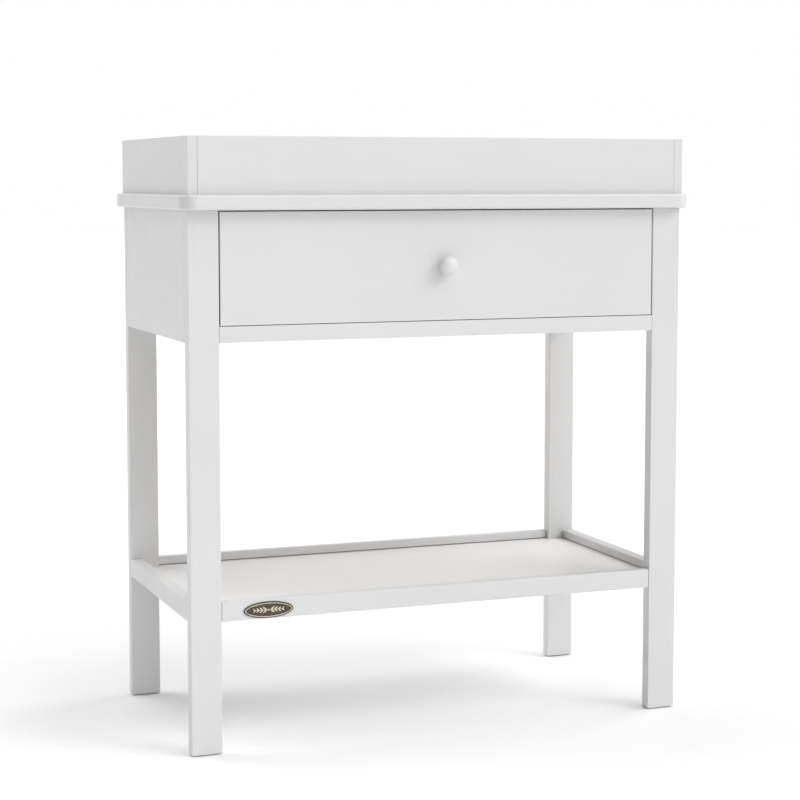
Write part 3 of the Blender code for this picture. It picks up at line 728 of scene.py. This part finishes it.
def makeRunnerScrews(zinc):
    look = screwShape
    half = look["height"] / 2
    head = addDisc("screwHead", (0, 0, 0), look["radius"], look["height"], (0, math.radians(90), 0),
                   look["sides"])
    pickEdges(head, lambda a, b: min(a.x, b.x) > half - near)
    roundPicked(look["edge"], look["edgeSegments"])
    floor, above = half - look["slotDepth"], half + look["height"]
    for wide, tall in ((look["slotLength"], look["slotWidth"]), (look["slotWidth"], look["slotLength"])):
        cutAway(head, (floor, -wide / 2, -tall / 2), (above, wide / 2, tall / 2))
    settle(head, smallPartAngle)
    turned = Matrix.Rotation(math.radians(180), 4, "Z")
    for side, sign in sideSigns.items():
        for runner, body in (("cabinet", "table_frame"), ("drawer", "drawer")):
            low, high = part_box(f"{runner}_runner_{side}")
            if runner == "cabinet":  # head faces the drawer
                webX = sign * (max(abs(low.x), abs(high.x)) - look["cabinetWeb"])
                facing = -sign
                middleZ = (low.z + high.z) / 2
            else:
                webX = sign * (min(abs(low.x), abs(high.x)) + look["drawerWeb"])
                facing = sign
                middleZ = low.z + look["drawerScrewRise"]
            for number, share in enumerate(look["alongRunner"], 1):
                spot = (webX + facing * (half - look["sink"]), low.y + share * (high.y - low.y), middleZ)
                screw = copyOf(head, f"{runner}RunnerScrew{side.title()}{number}", spot,
                               turned if facing < 0 else None)
                belong(screw, zinc, body, "zinc_steel")
    bpy.data.objects.remove(head)
    print("runner screws done")


# better finishes on the pieces that keep their shape

def dressNodes(zinc):  # a node takes the finish with the longest name that it starts with
    steel = coatedSteel("coatedRunnerSteel")
    nylon = mouldedPlastic("rollerNylon", (0.790, 0.790, 0.762), (0.745, 0.745, 0.708), (0.34, 0.46))
    sideLaminate = whiteLaminate("laminateAlongY", "y", 3.0)
    crossLaminate = whiteLaminate("laminateAlongX", "x", 8.0)
    bottom = hardboard("drawerBottomBoard")
    finishes = {
        "cabinet_runner": steel,
        "drawer_runner": steel,
        "cabinet_roller": nylon,
        "drawer_roller": nylon,
        "cabinet_roller_pin": zinc,
        "drawer_roller_pin": zinc,
        "cam_lock": zinc,
        "knob_screw": zinc,
        "topper_screw": zinc,
        "drawer_side": sideLaminate,
        "drawer_back": crossLaminate,
        "drawer_bottom": bottom,
        "runner_rail": sideLaminate,
        "upper_stretcher": crossLaminate,
    }
    for name, node in nodes.items():
        fits = [start for start in finishes if name.startswith(start)]
        if fits and not node.hide_render:
            finish = finishes[max(fits, key=len)]
            for slot in node.material_slots:
                slot.material = finish


# floor, light and camera

studio = {
    "floorSize": 60.0,  # wide, so that the light it throws back reaches the table's top as well
    "floorColour": (0.93, 0.93, 0.93),
    "floorDarker": 0.985,  # the share of the colour that the darker patches keep
    "roomLight": 0.05,
    "lampDistance": 3,
    # lamp: degrees round the table (0 is the front, 90 the right), degrees up, strength, spread in degrees
    "lamps": {
        "front": (0, 38, 0.86, 50),
        "frontRight": (45, 38, 0.92, 26),
        "frontRightLow": (45, 12, 0.50, 50),
        "right": (90, 38, 1.30, 50),
        "back": (180, 12, 0.62, 50),
        "backHigh": (180, 65, 0.34, 50),
        "overhead": (0, 88, 0.72, 50),
        "backLeft": (-135, 38, 1.16, 50),
    },
}


def makeStudio():
    clearSelection()
    bpy.ops.mesh.primitive_plane_add(size=studio["floorSize"], location=(0, 0, 0))
    floor = nameNew("studioFloor")
    material, tree, shader, place = startMaterial("floorWhite")
    shade = studio["floorColour"]
    darker = tuple(value * studio["floorDarker"] for value in shade)
    colour = blendColours(tree, ranged(tree, noise(tree, place, 1.6), 0.0, 1.0), shade, darker)
    normal = bumped(tree, ((noise(tree, place, 240.0), 0.0001, 0.1),))
    finishMaterial(tree, shader, colour, ranged(tree, noise(tree, place, 8.0), 0.7, 0.8), normal)
    floor.data.materials.append(material)

    world = bpy.data.worlds.new("studioWorld")
    bpy.context.scene.world = world
    world.use_nodes = True
    tree = world.node_tree
    tree.nodes.clear()
    room = put(tree, "ShaderNodeBackground", {"Color": (1, 1, 1, 1), "Strength": studio["roomLight"]})
    seen = put(tree, "ShaderNodeBackground", {"Color": (1, 1, 1, 1), "Strength": 1.0})
    straight = put(tree, "ShaderNodeLightPath").outputs["Is Camera Ray"]
    mixed = put(tree, "ShaderNodeMixShader", {0: straight, 1: room.outputs[0], 2: seen.outputs[0]})
    put(tree, "ShaderNodeOutputWorld", {"Surface": mixed.outputs[0]})

    for name, (around, rise, strength, spread) in studio["lamps"].items():
        clearSelection()
        around, rise = math.radians(around), math.radians(rise)
        away = Vector((math.sin(around) * math.cos(rise), -math.cos(around) * math.cos(rise), math.sin(rise)))
        bpy.ops.object.light_add(type="SUN", location=away * studio["lampDistance"],
                                 rotation=away.to_track_quat("Z", "Y").to_euler())
        lamp = bpy.context.object
        lamp.name = name + "Lamp"
        lamp.data.energy = strength
        lamp.data.angle = math.radians(spread)  # wide, for soft shadows


cameraView = {
    "place": (-1.2163, -3.1958, 0.9075),
    "turn": -20.874,
    "tilt": 84.826,
    "lens": 89.69,
    "sensor": 36.0,
    "shiftY": -0.05,
    "reach": 60.0,
}


def makeCamera():
    turn = (math.radians(cameraView["tilt"]), 0, math.radians(cameraView["turn"]))
    bpy.ops.object.camera_add(location=cameraView["place"], rotation=turn)
    camera = bpy.context.object
    camera.name = "studioCamera"
    camera.data.sensor_width = cameraView["sensor"]
    camera.data.lens = cameraView["lens"]
    camera.data.shift_y = cameraView["shiftY"]
    camera.data.clip_end = cameraView["reach"]
    bpy.context.scene.camera = camera


glidePlastic = mouldedPlastic("glidePlastic", (0.52, 0.52, 0.51), (0.44, 0.44, 0.43), (0.45, 0.6))
zincPlate = zincSteel("zincPlate")
badgeDark = agedBrass("badgeDarkField", (0.110, 0.094, 0.068), (0.060, 0.051, 0.038), (0.42, 0.6), 0.45)
badgeBright = agedBrass("badgeBrightRelief", (0.78, 0.73, 0.62), (0.52, 0.45, 0.33), (0.30, 0.46), 0.5)

makeLegs()
makeApron()
makeTop()
makeShelf()
makeBadge()
makeDrawerFront()
makeKnob()
makeRunnerScrews(zincPlate)
dressNodes(zincPlate)
makeStudio()
makeCamera()
print("studio and camera ready")
